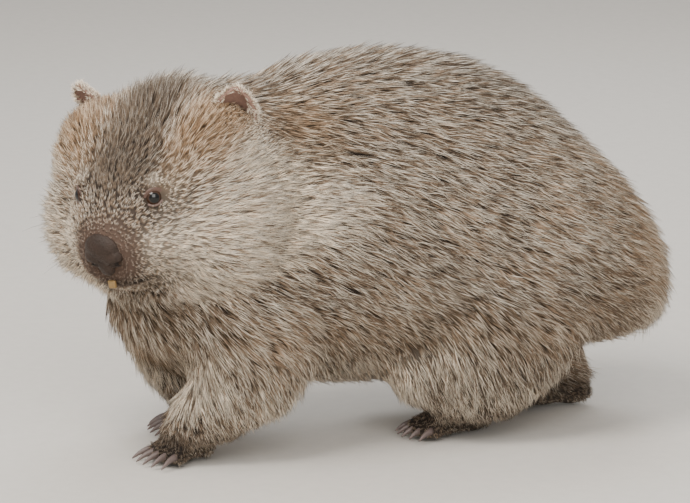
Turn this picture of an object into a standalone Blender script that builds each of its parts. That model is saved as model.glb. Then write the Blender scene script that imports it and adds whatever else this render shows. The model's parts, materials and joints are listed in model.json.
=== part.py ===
"""A common wombat at life size, in mid stride, its head low and turned to its left.

Metres, +Z up. The wombat faces -Y and its left side is +X. The origin is on the floor under the
middle of its box. The flesh and coat are modelled whole, out to the tips of the coat, smoothed,
and parted with thin cuts.
"""

import math

import bmesh
import bpy
import numpy as np
from mathutils import Matrix, Vector

# Joints between nodes, and how finely each form is fused.
GAP = 0.0003
BODY_VOXEL = 0.007
FORM_VOXEL = 0.0040
NOSE_VOXEL = 0.0014
EAR_VOXEL = 0.0016
FOOT_VOXEL = 0.0022
TOOTH_VOXEL = 0.0008
RING_SIDES = 36
STEPS_BETWEEN_STATIONS = 5

# The head's own frame: x to its left, y to its back, z up, origin midway between the eyes.
EYE_MIDPOINT = (0.1013, -0.279, 0.3090)
HEAD_TURN = math.radians(42)
HEAD_BOW = math.radians(25)
HEAD_TILT = math.radians(-4.5)
HEAD = (
    Matrix.Translation(EYE_MIDPOINT)
    @ Matrix.Rotation(HEAD_TURN, 4, "Z")
    @ Matrix.Rotation(HEAD_BOW, 4, "X")
    @ Matrix.Rotation(HEAD_TILT, 4, "Y")
)
BODY = Matrix.Identity(4)

# The last move, which brings the middle of the wombat's box over the origin.
TO_ORIGIN = Matrix.Translation((-0.0117, -0.0243, 0.0))

# Stations along the trunk: y, top, bottom, half width.
TRUNK = (
    (-0.262, 0.225, 0.150, 0.040),
    (-0.240, 0.280, 0.115, 0.083),
    (-0.200, 0.335, 0.088, 0.110),
    (-0.140, 0.385, 0.072, 0.128),
    (-0.060, 0.419, 0.063, 0.139),
    (0.020, 0.430, 0.060, 0.146),
    (0.090, 0.426, 0.063, 0.150),
    (0.150, 0.412, 0.066, 0.152),
    (0.210, 0.381, 0.072, 0.150),
    (0.270, 0.331, 0.078, 0.141),
    (0.320, 0.281, 0.084, 0.121),
    (0.354, 0.235, 0.094, 0.091),
    (0.374, 0.198, 0.114, 0.052),
)

# Stations along the skull in the head's frame: y, top, bottom, half width.
SKULL = (
    (-0.063, -0.016, -0.076, 0.028),
    (-0.052, -0.004, -0.088, 0.042),
    (-0.030, 0.012, -0.098, 0.051),
    (0.000, 0.028, -0.112, 0.060),
    (0.040, 0.041, -0.124, 0.078),
    (0.080, 0.049, -0.130, 0.094),
    (0.120, 0.053, -0.126, 0.100),
    (0.165, 0.040, -0.100, 0.084),
    (0.190, 0.012, -0.060, 0.045),
)

# Smaller forms of the head, in its frame.
CHEEK = ((0.074, 0.060, -0.074), (0.070, 0.084, 0.076))
TEMPLE = ((0.063, 0.080, -0.012), (0.059, 0.074, 0.060))
MIDFACE = ((0.042, 0.002, -0.050), (0.034, 0.050, 0.046))
JAW = ((0.036, 0.050, -0.108), (0.062, 0.080, 0.046))
BROW = ((0.040, 0.012, 0.008), (0.017, 0.024, 0.011))
MUZZLE = ((0.021, -0.028, -0.055), (0.028, 0.036, 0.030))
CHIN = ((0.000, -0.022, -0.090), (0.024, 0.026, 0.016))
LIP_PATH = (
    (0.037, -0.016, -0.078),
    (0.029, -0.036, -0.073),
    (0.014, -0.052, -0.069),
    (0.000, -0.057, -0.067),
)
LIP_RADIUS = 0.0075
MOUTH_WIDTH = 0.0040

# Eyes: balls behind lids, turned outwards and a little up.
EYE_CENTRE = (0.0430, -0.006, -0.001)
EYE_RADIUS = 0.0098
EYE_FACING = (0.66, -0.66, 0.34)
LID_RADIUS = 0.0128
LID_OPENING = (0.0080, 0.0066, 0.0120)

# Ears: short rounded cups on the back corners of the head.
EAR_BASE = (0.086, 0.112, 0.012)
EAR_UP = (0.26, 0.16, 0.92)
EAR_FACING = (0.42, -0.88, 0.20)
EAR_WIDTH = 0.045
EAR_HEIGHT = 0.045
EAR_CUP = 0.014
EAR_THICKNESS = 0.0042

# Limbs: balls from the shoulder or haunch down to the wrist or hock, centre and radii.
FORELEG_LEFT = (
    (0.076, -0.130, 0.235, 0.072, 0.094, 0.088),
    (0.086, -0.128, 0.165, 0.056, 0.084, 0.065),
    (0.086, -0.132, 0.100, 0.047, 0.070, 0.056),
    (0.068, -0.172, 0.056, 0.039, 0.048, 0.036),
    (0.062, -0.186, 0.026, 0.036, 0.042, 0.028),
)
FORELEG_RIGHT = (
    (-0.074, -0.130, 0.235, 0.070, 0.088, 0.085),
    (-0.084, -0.155, 0.165, 0.055, 0.085, 0.065),
    (-0.082, -0.152, 0.100, 0.047, 0.066, 0.056),
    (-0.068, -0.138, 0.056, 0.039, 0.048, 0.036),
    (-0.062, -0.128, 0.026, 0.036, 0.042, 0.028),
)
HINDLEG_LEFT = (
    (0.094, 0.170, 0.205, 0.062, 0.108, 0.108),
    (0.092, 0.158, 0.120, 0.056, 0.096, 0.072),
    (0.078, 0.138, 0.066, 0.046, 0.068, 0.048),
    (0.056, 0.132, 0.030, 0.036, 0.052, 0.031),
)
HINDLEG_RIGHT = (
    (-0.094, 0.200, 0.205, 0.062, 0.108, 0.108),
    (-0.088, 0.225, 0.120, 0.056, 0.092, 0.072),
    (-0.064, 0.260, 0.070, 0.044, 0.058, 0.048),
    (-0.042, 0.268, 0.036, 0.036, 0.050, 0.030),
)
GROIN = (
    (0.070, 0.085, 0.092, 0.044, 0.060, 0.056),
    (0.000, 0.090, 0.095, 0.050, 0.060, 0.050),
    (-0.070, 0.100, 0.095, 0.044, 0.060, 0.056),
)
NECK = (
    (0.000, -0.110, 0.275, 0.134, 0.100, 0.132),
    (0.036, -0.168, 0.275, 0.126, 0.094, 0.128),
    (0.045, -0.205, 0.300, 0.108, 0.070, 0.100),
)
THROAT = (
    (-0.006, -0.190, 0.190, 0.085, 0.070, 0.085),
    (0.030, -0.220, 0.215, 0.080, 0.060, 0.070),
)

# Feet: centre of the sole, outward turn in degrees, length and width of the sole.
FOREFEET = {
    "left": ((0.060, -0.198), 14, 0.074, 0.056),
    "right": ((-0.062, -0.146), -12, 0.074, 0.056),
}
HINDFEET = {
    "left": ((0.050, 0.113), 8, 0.104, 0.050),
    "right": ((-0.036, 0.264), -8, 0.104, 0.050),
}
FOOT_HEIGHT = 0.024
CLAW_FRONT = 0.026
CLAW_HIND = 0.021
CLAW_LEVEL = 0.0125
CLAW_RADIUS = 0.0040
TOES = 5
TOE_SPREAD = math.radians(16)

MOUTH_PATH = (
    (0.040, -0.022, -0.082),
    (0.030, -0.046, -0.078),
    (0.016, -0.062, -0.074),
    (0.000, -0.066, -0.072),
)
NOSE_FORMS = (
    ((0.000, -0.057, -0.030), (0.0220, 0.0155, 0.0180)),
    ((0.0100, -0.057, -0.039), (0.0145, 0.0150, 0.0140)),
    ((0.000, -0.059, -0.051), (0.0105, 0.0120, 0.0130)),
    ((0.0150, -0.054, -0.047), (0.0105, 0.0115, 0.0085)),
)
NOSTRIL = (
    (0.0080, -0.0740, -0.0490),
    (0.0135, -0.0720, -0.0455),
    (0.0190, -0.0660, -0.0460),
    (0.0260, -0.0570, -0.0490),
)
NOSTRIL_RADIUS = 0.0028

# The upper incisors: a pair of plates that shows under the lip.
TOOTH_DEPTH = -0.0652
TOOTH_LEVEL = -0.0725
TOOTH_SPACING = 0.0046
TOOTH_SIZE = (0.0044, 0.0034, 0.0090)
TOOTH_LEAN = math.radians(-12)
TAIL = ((0.0, 0.367, 0.172), (0.013, 0.016, 0.020))

# Where the body is parted, and how finely its nodes are drawn.
HEAD_BOX = ((-0.30, -0.30, -0.128), (0.30, 0.158, 0.30))
LEG_SLANT = math.radians(45)
LEG_DEPTH = -0.0248
LEG_SPANS = (
    ("foreleg_left", 1, -0.300, -0.050),
    ("foreleg_right", -1, -0.300, -0.050),
    ("hindleg_left", 1, 0.030, 0.300),
    ("hindleg_right", -1, 0.060, 0.340),
)
NECK_FLOOR = 0.215
NECK_BACK = -0.135
CHEST_BACK = -0.020
RUMP_FRONT = 0.170
BODY_TRIANGLES = 5200
HEAD_TRIANGLES = 3600
SOLE_TRIANGLES = 300
NOSE_TRIANGLES = 420
GROOVE_TRIANGLES = 200
TOOTH_TRIANGLES = 120
EAR_TRIANGLES = 320


def clear_scene():
    for old in list(bpy.data.objects):
        bpy.data.objects.remove(old, do_unlink=True)


def collection_named(name):
    made = bpy.data.collections.new(name)
    bpy.context.scene.collection.children.link(made)
    return made


def object_of(name, mesh, collection):
    made = bpy.data.objects.new(name, mesh)
    collection.objects.link(made)
    return made


def spline(stations, steps):
    """A smooth curve through rows of numbers."""
    rows = np.array(stations, float)
    rows = np.vstack([2 * rows[0] - rows[1], rows, 2 * rows[-1] - rows[-2]])
    out = []
    for before, here, there, after in zip(rows, rows[1:], rows[2:], rows[3:]):
        for t in np.linspace(0, 1, steps, endpoint=False):
            out.append(
                here
                + 0.5 * t * (there - before)
                + t * t * (before - 2.5 * here + 2 * there - 0.5 * after)
                + t**3 * (1.5 * (here - there) + 0.5 * (after - before))
            )
    return [*out, rows[-2]]


def loft(bm, stations, frame, steps=STEPS_BETWEEN_STATIONS, sides=RING_SIDES):
    """A closed body through upright elliptic rings that stand across the frame's y."""
    rings = []
    for along, top, bottom, half_width in spline(stations, steps):
        middle, half_height = (top + bottom) / 2, (top - bottom) / 2
        ring = []
        for k in range(sides):
            angle = 2 * math.pi * k / sides
            point = Vector(
                (half_width * math.cos(angle), along, middle + half_height * math.sin(angle))
            )
            ring.append(bm.verts.new(frame @ point))
        rings.append(ring)
    for one, two in zip(rings, rings[1:]):
        for k in range(sides):
            j = (k + 1) % sides
            bm.faces.new((one[k], two[k], two[j], one[j]))
    for ring in (rings[0], rings[-1]):
        bm.faces.new(ring)


def unit_ball():
    """The corners and faces of a ball of radius one."""
    bm = bmesh.new()
    bmesh.ops.create_icosphere(bm, subdivisions=3, radius=1)
    corners = [vert.co.copy() for vert in bm.verts]
    faces = [[vert.index for vert in face.verts] for face in bm.faces]
    bm.free()
    return corners, faces


BALL_CORNERS, BALL_FACES = unit_ball()


def ball(bm, centre, radii, frame=BODY):
    """An ellipsoid in a frame."""
    place = frame @ Matrix.Translation(centre) @ Matrix.Diagonal((*radii, 1))
    corners = [bm.verts.new(place @ corner) for corner in BALL_CORNERS]
    for face in BALL_FACES:
        bm.faces.new([corners[k] for k in face])


def string_of_balls(bm, stations, steps=6, frame=BODY):
    """Balls close together along a path. Each station is a centre and three radii."""
    for row in spline(stations, steps):
        ball(bm, row[:3], row[3:], frame)


def mirrored(points):
    return [(-x, *rest) for x, *rest in points]


def mesh_of(bm, name):
    bmesh.ops.recalc_face_normals(bm, faces=bm.faces)
    mesh = bpy.data.meshes.new(name)
    bm.to_mesh(mesh)
    bm.free()
    return mesh


def applied(obj):
    """The object with its modifiers applied."""
    graph = bpy.context.evaluated_depsgraph_get()
    mesh = bpy.data.meshes.new_from_object(obj.evaluated_get(graph))
    obj.modifiers.clear()
    obj.data = mesh
    return obj


def fused(obj, voxel, passes):
    """One closed skin round everything in the object, with its creases filled."""
    remesh = obj.modifiers.new("Fuse", "REMESH")
    remesh.mode = "VOXEL"
    remesh.voxel_size = voxel
    smooth = obj.modifiers.new("Fill creases", "SMOOTH")
    smooth.factor = 0.5
    smooth.iterations = passes
    return applied(obj)


def joined(objects):
    """The first object with the others' meshes added to it."""
    bm = bmesh.new()
    for obj in objects:
        bm.from_mesh(obj.data)
    mesh = bpy.data.meshes.new(objects[0].name)
    bm.to_mesh(mesh)
    bm.free()
    for obj in objects[1:]:
        bpy.data.objects.remove(obj, do_unlink=True)
    objects[0].data = mesh
    return objects[0]


def largest_surface(obj):
    """Drops every loose piece but the largest."""
    bm = bmesh.new()
    bm.from_mesh(obj.data)
    left, pieces = set(bm.faces), []
    while left:
        reached, waiting = set(), [left.pop()]
        while waiting:
            face = waiting.pop()
            reached.add(face)
            near = {other for edge in face.edges for other in edge.link_faces} & left
            left -= near
            waiting.extend(near)
        pieces.append(reached)
    pieces.sort(key=len)
    scraps = [face for piece in pieces[:-1] for face in piece]
    bmesh.ops.delete(bm, geom=scraps, context="FACES")
    bm.to_mesh(obj.data)
    bm.free()
    return obj


def box_cutter(frame, low, high, collection):
    bm = bmesh.new()
    middle = (Vector(low) + Vector(high)) / 2
    size = Vector(high) - Vector(low)
    place = frame @ Matrix.Translation(middle) @ Matrix.Diagonal((*size, 1))
    bmesh.ops.create_cube(bm, size=1, matrix=place)
    return object_of("cutter", mesh_of(bm, "cutter"), collection)


def combined(obj, other, operation):
    """The object after one Boolean with another, which is then removed."""
    change = obj.modifiers.new("Cut", "BOOLEAN")
    change.operation = operation
    change.solver = "MANIFOLD"
    change.object = other
    applied(obj)
    bpy.data.objects.remove(other, do_unlink=True)
    return obj


def part_off(whole, name, frame, low, high, shapes):
    """Cuts what lies in a box away from the whole as a node of its own, a gap apart."""
    half = Vector((GAP, GAP, GAP)) / 2
    piece = object_of(name, whole.data.copy(), shapes)
    inner = box_cutter(frame, Vector(low) + half, Vector(high) - half, shapes)
    outer = box_cutter(frame, Vector(low) - half, Vector(high) + half, shapes)
    largest_surface(combined(piece, inner, "INTERSECT"))
    largest_surface(combined(whole, outer, "DIFFERENCE"))
    return piece


def swollen_copy(host, by, shapes):
    """A copy of a node grown outwards by a small distance."""
    grown = object_of("swollen", host.data.copy(), shapes)
    for vert, source in zip(grown.data.vertices, host.data.vertices):
        vert.co = source.co + source.normal * by
    return grown


def seated(piece, host, shapes):
    """Cuts the host's shape out of a piece that grows from it, so that they meet face to face."""
    return largest_surface(combined(piece, swollen_copy(host, GAP, shapes), "DIFFERENCE"))


def thinned(obj, triangles):
    """The object with fewer faces, keeping its shape."""
    obj.data.calc_loop_triangles()
    thin = obj.modifiers.new("Thin", "DECIMATE")
    thin.ratio = min(1.0, triangles / len(obj.data.loop_triangles))
    return applied(obj)


def finish(obj, material):
    obj.data.materials.clear()
    obj.data.materials.append(material)
    obj.data.shade_smooth()
    obj.data.set_sharp_from_angle(angle=math.radians(50))


def material_named(name, colour, roughness):
    made = bpy.data.materials.new(name)
    made.use_nodes = True
    shader = made.node_tree.nodes["Principled BSDF"]
    shader.inputs["Base Color"].default_value = (*colour, 1)
    shader.inputs["Roughness"].default_value = roughness
    shader.inputs["Metallic"].default_value = 0.0
    return made


def whole_body(shapes):
    """Trunk, neck, head and limbs as one skin, smoothed before its details go on."""
    bm = bmesh.new()
    loft(bm, TRUNK, BODY)
    loft(bm, SKULL, HEAD)
    limbs = (FORELEG_LEFT, FORELEG_RIGHT, HINDLEG_LEFT, HINDLEG_RIGHT)
    for stations in (NECK, THROAT, GROIN, *limbs):
        string_of_balls(bm, stations)
    for centre, radii in (CHEEK, TEMPLE, MIDFACE, JAW):
        for x, y, z in (centre, *mirrored([centre])):
            ball(bm, (x, y, z), radii, HEAD)
    flesh = fused(object_of("flesh", mesh_of(bm, "flesh"), shapes), BODY_VOXEL, 10)
    bm = bmesh.new()
    for centre, radii in (BROW, MUZZLE, (EYE_CENTRE, (LID_RADIUS,) * 3)):
        for x, y, z in (centre, *mirrored([centre])):
            ball(bm, (x, y, z), radii, HEAD)
    ball(bm, *CHIN, HEAD)
    lips = [(x, y, z + lift, *(LIP_RADIUS,) * 3) for lift in (-0.006, 0.007) for x, y, z in LIP_PATH]
    for row in (lips[:4], lips[4:], mirrored(lips[:4]), mirrored(lips[4:])):
        string_of_balls(bm, row, 4, HEAD)
    details = object_of("details", mesh_of(bm, "details"), shapes)
    return fused(joined([flesh, details]), FORM_VOXEL, 3)


def both_sides(points):
    """A path and its mirror image, from one side to the other."""
    return [*points, *mirrored(reversed(points[:-1]))]


def groove(host, points, radius, shapes):
    """Cuts a round groove along a path that is first laid onto the host's surface."""
    path = []
    for point in spline(points, 4):
        found, place, normal, face = host.closest_point_on_mesh(HEAD @ Vector(point))
        path.append((*place, radius, radius, radius))
    bm = bmesh.new()
    string_of_balls(bm, path, 2)
    bar = fused(object_of("groove", mesh_of(bm, "groove"), shapes), radius / 2, 1)
    combined(host, thinned(bar, GROOVE_TRIANGLES), "DIFFERENCE")
    return largest_surface(host)


def face_frame(centre, facing):
    """A frame at a point of the head whose z looks out along a direction."""
    turn = Vector(facing).normalized().to_track_quat("Z", "Y").to_matrix().to_4x4()
    return HEAD @ Matrix.Translation(centre) @ turn


def ellipsoid(name, frame, radii, shapes, segments=16, rings=10):
    bm = bmesh.new()
    place = frame @ Matrix.Diagonal((*radii, 1))
    bmesh.ops.create_uvsphere(bm, u_segments=segments, v_segments=rings, radius=1, matrix=place)
    return object_of(name, mesh_of(bm, name), shapes)


def cut_eyes(head, shapes):
    """Opens a socket and the lids on each side, and makes the eyes."""
    eyes = []
    for side, mirror in (("left", 1), ("right", -1)):
        centre = (mirror * EYE_CENTRE[0], *EYE_CENTRE[1:])
        frame = face_frame(centre, (mirror * EYE_FACING[0], *EYE_FACING[1:]))
        socket = ellipsoid("socket", frame, (EYE_RADIUS + GAP,) * 3, shapes)
        combined(head, socket, "DIFFERENCE")
        opening = frame @ Matrix.Translation((0, 0, EYE_RADIUS))
        combined(head, ellipsoid("opening", opening, LID_OPENING, shapes), "DIFFERENCE")
        eyes.append(ellipsoid(f"eye_{side}", frame, (EYE_RADIUS,) * 3, shapes))
    largest_surface(head)
    return eyes


def nose(head, shapes):
    """A broad leathery pad with a nostril low on each side."""
    bm = bmesh.new()
    for centre, radii in NOSE_FORMS:
        ball(bm, centre, radii, HEAD)
        if centre[0]:
            ball(bm, (-centre[0], *centre[1:]), radii, HEAD)
    pad = fused(object_of("nose", mesh_of(bm, "nose"), shapes), NOSE_VOXEL, 3)
    thinned(pad, NOSE_TRIANGLES)
    for path in (NOSTRIL, mirrored(NOSTRIL)):
        groove(pad, path, NOSTRIL_RADIUS, shapes)
    return seated(pad, head, shapes)


def ear(side, mirror, hosts, shapes):
    """A rounded cup of skin, thick enough to hold, cut to the head where it grows from it."""
    up = Vector((mirror * EAR_UP[0], *EAR_UP[1:])).normalized()
    facing = Vector((mirror * EAR_FACING[0], *EAR_FACING[1:]))
    facing = (facing - up * facing.dot(up)).normalized()
    across = up.cross(facing)
    base = Vector((mirror * EAR_BASE[0], *EAR_BASE[1:]))
    bm = bmesh.new()
    rows = []
    for height in np.linspace(-0.30, 1, 12):
        half_width = EAR_WIDTH / 2 * max(0.16, 1 - max(0, height) ** 2.6) ** 0.5
        row = []
        for u in np.linspace(-1, 1, 11):
            hollow = EAR_CUP * (1 - u * u) * (1 - 0.7 * max(0, height) ** 2)
            lean = -0.006 * max(0, height) ** 2
            point = base + up * (height * EAR_HEIGHT * (1 - 0.10 * u * u * max(0, height)))
            point += across * u * half_width - facing * (hollow + lean)
            row.append(bm.verts.new(HEAD @ point))
        rows.append(row)
    for one, two in zip(rows, rows[1:]):
        for k in range(len(one) - 1):
            bm.faces.new((one[k], one[k + 1], two[k + 1], two[k]))
    cup = object_of(f"ear_{side}", mesh_of(bm, "ear"), shapes)
    thick = cup.modifiers.new("Thickness", "SOLIDIFY")
    thick.thickness = EAR_THICKNESS
    thick.offset = 0
    applied(cup)
    cup = thinned(fused(cup, EAR_VOXEL, 2), EAR_TRIANGLES)
    for host in hosts:
        seated(cup, host, shapes)
    return cup


def claw(bm, root, direction, length, radius, sides=6):
    """A tapered horn that bends down towards its tip."""
    forward = Vector(direction).normalized()
    rings = []
    for t in (0.0, 0.35, 0.7, 0.94):
        centre = Vector(root) + forward * length * t - Vector((0, 0, 0.42 * length * t * t))
        slope = (forward - Vector((0, 0, 0.84 * t))).normalized()
        turn = slope.to_track_quat("Z", "Y").to_matrix()
        size = radius * (1 - t) ** 0.7
        ring = []
        for k in range(sides):
            angle = 2 * math.pi * k / sides
            rim = Vector((0.8 * size * math.cos(angle), size * math.sin(angle), 0))
            ring.append(bm.verts.new(centre + turn @ rim))
        rings.append(ring)
    for one, two in zip(rings, rings[1:]):
        for k in range(sides):
            j = (k + 1) % sides
            bm.faces.new((one[k], one[j], two[j], two[k]))
    for ring in (rings[0], rings[-1]):
        bm.faces.new(ring)


def foot(name, spot, turn, length, width, claw_length, shapes):
    """A flat-soled foot with its toes side by side, each claw fused to its toe."""
    frame = Matrix.Translation((*spot, 0)) @ Matrix.Rotation(math.radians(turn), 4, "Z")
    bm = bmesh.new()
    ball(bm, (0, 0.24 * length, 0.014), (0.38 * width, 0.27 * length, 0.026), frame)
    ball(bm, (0, -0.10 * length, 0.014), (0.47 * width, 0.33 * length, 0.023), frame)
    ball(bm, (0, 0.14 * length, 0.040), (0.36 * width, 0.24 * length, 0.026), frame)
    toes = []
    for k in range(TOES):
        across = 2 * k / (TOES - 1) - 1
        spread = TOE_SPREAD * across
        root = Vector((0.40 * width * across, -0.34 * length * (1 - 0.16 * across**2), 0.012))
        heading = Vector((math.sin(spread), -math.cos(spread), 0))
        ball(bm, root, (0.125 * width, 0.16 * length, 0.013), frame)
        toes.append((root + heading * 0.10 * length, heading))
    sole = fused(object_of(name, mesh_of(bm, name), shapes), FOOT_VOXEL, 4)
    sole = thinned(sole, SOLE_TRIANGLES)
    bm = bmesh.new()
    for root, heading in toes:
        start = frame @ root
        lifted = frame.to_3x3() @ heading
        claw(bm, (start.x, start.y, CLAW_LEVEL), lifted, claw_length, CLAW_RADIUS)
    claws = object_of("claws", mesh_of(bm, "claws"), shapes)
    combined(sole, claws, "UNION")
    low, high = (-1, -1, 0), (1, 1, FOOT_HEIGHT - GAP)
    combined(sole, box_cutter(frame, low, high, shapes), "INTERSECT")
    return largest_surface(sole)


def upper_incisors(head, pad, shapes):
    """The pair of front teeth that shows under the lip."""
    bm = bmesh.new()
    for side in (-1, 1):
        middle = Matrix.Translation((side * TOOTH_SPACING / 2, TOOTH_DEPTH, TOOTH_LEVEL))
        place = HEAD @ middle @ Matrix.Rotation(TOOTH_LEAN, 4, "X")
        bmesh.ops.create_cube(bm, size=1, matrix=place @ Matrix.Diagonal((*TOOTH_SIZE, 1)))
    teeth = object_of("upper_incisors", mesh_of(bm, "upper_incisors"), shapes)
    teeth = fused(teeth, TOOTH_VOXEL, 2)
    thinned(teeth, TOOTH_TRIANGLES)
    return seated(seated(teeth, head, shapes), pad, shapes)


def part_limbs(whole, shapes):
    """Each leg is cut from the body by a slanted plane and ends above its foot."""
    legs = []
    for name, side, front, back in LEG_SPANS:
        turn = LEG_SLANT if side > 0 else math.pi - LEG_SLANT
        low, high = (LEG_DEPTH, front, -1), (1, back, 1)
        leg = part_off(whole, name, Matrix.Rotation(turn, 4, "Y"), low, high, shapes)
        below = box_cutter(BODY, (-1, -1, -1), (1, 1, FOOT_HEIGHT), shapes)
        legs.append(largest_surface(combined(leg, below, "DIFFERENCE")))
    return legs


def build():
    clear_scene()
    shapes = collection_named("wombat")
    whole = whole_body(shapes)
    head = part_off(whole, "head", HEAD, HEAD_BOX[0], HEAD_BOX[1], shapes)
    thinned(whole, BODY_TRIANGLES)
    thinned(head, HEAD_TRIANGLES)
    legs = part_limbs(whole, shapes)
    neck = part_off(whole, "neck", BODY, (-1, -1, NECK_FLOOR), (1, NECK_BACK, 1), shapes)
    rump = part_off(whole, "rump", BODY, (-1, RUMP_FRONT, -1), (1, 1, 1), shapes)
    chest = part_off(whole, "chest", BODY, (-1, -1, -1), (1, CHEST_BACK, 1), shapes)
    whole.name = "barrel"
    groove(head, both_sides(MOUTH_PATH), MOUTH_WIDTH / 2, shapes)
    eyes = cut_eyes(head, shapes)
    pad = nose(head, shapes)
    teeth = upper_incisors(head, pad, shapes)
    ears = [ear(side, mirror, (head, neck), shapes) for side, mirror in (("left", 1), ("right", -1))]
    tail = seated(ellipsoid("tail", BODY @ Matrix.Translation(TAIL[0]), TAIL[1], shapes), rump, shapes)
    feet = []
    for side, numbers in FOREFEET.items():
        feet.append(foot(f"forefoot_{side}", *numbers, CLAW_FRONT, shapes))
    for side, numbers in HINDFEET.items():
        feet.append(foot(f"hindfoot_{side}", *numbers, CLAW_HIND, shapes))
    coat = material_named("grizzled coat", (0.19, 0.15, 0.11), 0.9)
    leather = material_named("nose leather", (0.055, 0.038, 0.030), 0.6)
    dark = material_named("eye", (0.008, 0.006, 0.005), 0.08)
    skin = material_named("ear skin", (0.30, 0.20, 0.16), 0.8)
    horn = material_named("foot", (0.07, 0.055, 0.05), 0.7)
    enamel = material_named("incisor", (0.55, 0.38, 0.13), 0.4)
    for obj in (whole, head, neck, chest, rump, tail, *legs):
        finish(obj, coat)
    finish(pad, leather)
    finish(teeth, enamel)
    for obj in eyes:
        finish(obj, dark)
    for obj in ears:
        finish(obj, skin)
    for obj in feet:
        finish(obj, horn)
    for obj in shapes.objects:
        obj.data.transform(TO_ORIGIN)


build()
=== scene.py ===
"""The wombat's skin, coat, face and feet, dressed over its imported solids.

Metres, +Z up. The wombat faces -Y and its left side is +X. One skin lies inside the solids by part
of the coat's depth, and tufts of solid hairs rise from it along the lie of the coat.
"""

import json
import math
import random

import bmesh
import bpy
import numpy as np
from bpy.props import FloatProperty, FloatVectorProperty, IntProperty, PointerProperty
from mathutils import Matrix, Vector
from mathutils.bvhtree import BVHTree

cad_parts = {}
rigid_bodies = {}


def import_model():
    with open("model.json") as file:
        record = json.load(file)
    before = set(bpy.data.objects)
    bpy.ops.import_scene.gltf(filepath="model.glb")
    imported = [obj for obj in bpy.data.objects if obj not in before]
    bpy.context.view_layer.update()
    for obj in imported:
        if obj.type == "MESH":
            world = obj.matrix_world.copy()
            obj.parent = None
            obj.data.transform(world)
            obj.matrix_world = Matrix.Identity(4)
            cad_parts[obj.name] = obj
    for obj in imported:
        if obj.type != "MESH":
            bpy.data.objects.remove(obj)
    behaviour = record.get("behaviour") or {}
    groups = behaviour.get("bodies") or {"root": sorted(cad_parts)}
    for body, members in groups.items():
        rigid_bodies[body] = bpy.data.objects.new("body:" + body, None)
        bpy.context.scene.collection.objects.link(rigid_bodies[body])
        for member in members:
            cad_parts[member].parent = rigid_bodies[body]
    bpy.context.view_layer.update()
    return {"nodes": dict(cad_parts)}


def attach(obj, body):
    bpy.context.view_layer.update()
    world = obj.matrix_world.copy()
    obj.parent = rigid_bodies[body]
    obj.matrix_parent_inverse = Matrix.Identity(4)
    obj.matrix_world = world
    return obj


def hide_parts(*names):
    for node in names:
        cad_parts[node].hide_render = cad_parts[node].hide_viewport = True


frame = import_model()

bl_info = {
    "name": "Wombat with a grizzled coat",
    "version": (1, 0, 0),
    "blender": (4, 5, 0),
    "location": "View3D > Sidebar > Wombat",
    "description": "Dresses the packed solids of a wombat with skin, coat, eyes, nose and claws",
    "category": "Object",
}

FLESH_NAMES = ("barrel", "chest", "neck", "rump", "head", "tail", "foreleg", "hindleg")
FLESH = [name for part in FLESH_NAMES for name in frame["nodes"] if name.startswith(part)]
FEET = [name for name in frame["nodes"] if name.startswith(("forefoot", "hindfoot"))]
SIDES = (("left", 1), ("right", -1))

# The head's own frame: x to its left, y to its back, z up, origin midway between the eyes.
HEAD = (
    Matrix.Translation((0.0896, -0.3033, 0.3090))
    @ Matrix.Rotation(math.radians(42), 4, "Z")
    @ Matrix.Rotation(math.radians(25), 4, "X")
    @ Matrix.Rotation(math.radians(-4.5), 4, "Y")
)
INTO_HEAD = HEAD.inverted()
HEAD_TURN = HEAD.to_3x3()
UP = Vector((0, 0, 1))
EYE_CENTRE = (0.0430, -0.006, -0.001)
EYE_FACING = (0.66, -0.66, 0.34)
EYE_RADIUS = 0.0098
EYE_SOCKET = 0.0088
LID_OPENING = (0.0085, 0.0071)
NOSE_MIDDLE = (0.0, -0.060, -0.038)
NOSE_FOOT = (0.0, -0.060, -0.049)
TOOTH_TIP = (0.0, -0.065, -0.072)
NOSTRIL = (
    (0.0080, -0.0740, -0.0490),
    (0.0135, -0.0720, -0.0455),
    (0.0190, -0.0660, -0.0460),
    (0.0260, -0.0570, -0.0490),
)
MOUTH_PATH = (
    (0.040, -0.022, -0.082),
    (0.030, -0.046, -0.078),
    (0.016, -0.062, -0.074),
    (0.000, -0.066, -0.072),
)
EAR_BASE = (0.086, 0.112, 0.012)
EAR_UP = (0.26, 0.16, 0.92)
EAR_FACING = (0.42, -0.88, 0.20)
EAR_MIDDLE = 0.026

# The coat's run: where it starts on the face, and its directions on the trunk and legs.
COAT_SOURCE = (0.0, -0.075, -0.045)
TRUNK_LIE = (0.0, 1.0, -0.50)
LEG_LIE = (0.0, 0.45, -1.0)

# Feet: centre of the sole, outward turn in degrees, length and width of the sole.
FOREFEET = (
    ((0.0483, -0.2223), 14, 0.074, 0.056),
    ((-0.0737, -0.1703), -12, 0.074, 0.056),
)
HINDFEET = (
    ((0.0383, 0.0887), 8, 0.104, 0.050),
    ((-0.0477, 0.2397), -8, 0.104, 0.050),
)
TOES = 5
TOE_SPREAD = math.radians(16)

# Spacing of the tufts in each region of the coat, and how wide their hairs are drawn.
REGIONS = {"face": (0.0030, 0.56), "head_left": (0.0040, 0.75), "head_right": (0.0040, 0.75)}
for part in ("shoulder", "flank", "haunch", "rump"):
    for side, mirror in SIDES:
        REGIONS[f"{part}_{side}"] = (0.0050, 1.0)
REGIONS.update(forelegs=(0.0045, 0.85), hindlegs=(0.0045, 0.85), feet=(0.0036, 0.70), ears=(0.0021, 0.60))

# Tufts: kinds, radius at the root, depth of the root in the skin, and width of each one's patch.
TUFT_KINDS = 5
TUFT_RADIUS = 0.0030
TUFT_ROOT = -0.0015
PATCH_WIDTH = 0.003
DENSEST = 160000

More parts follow.
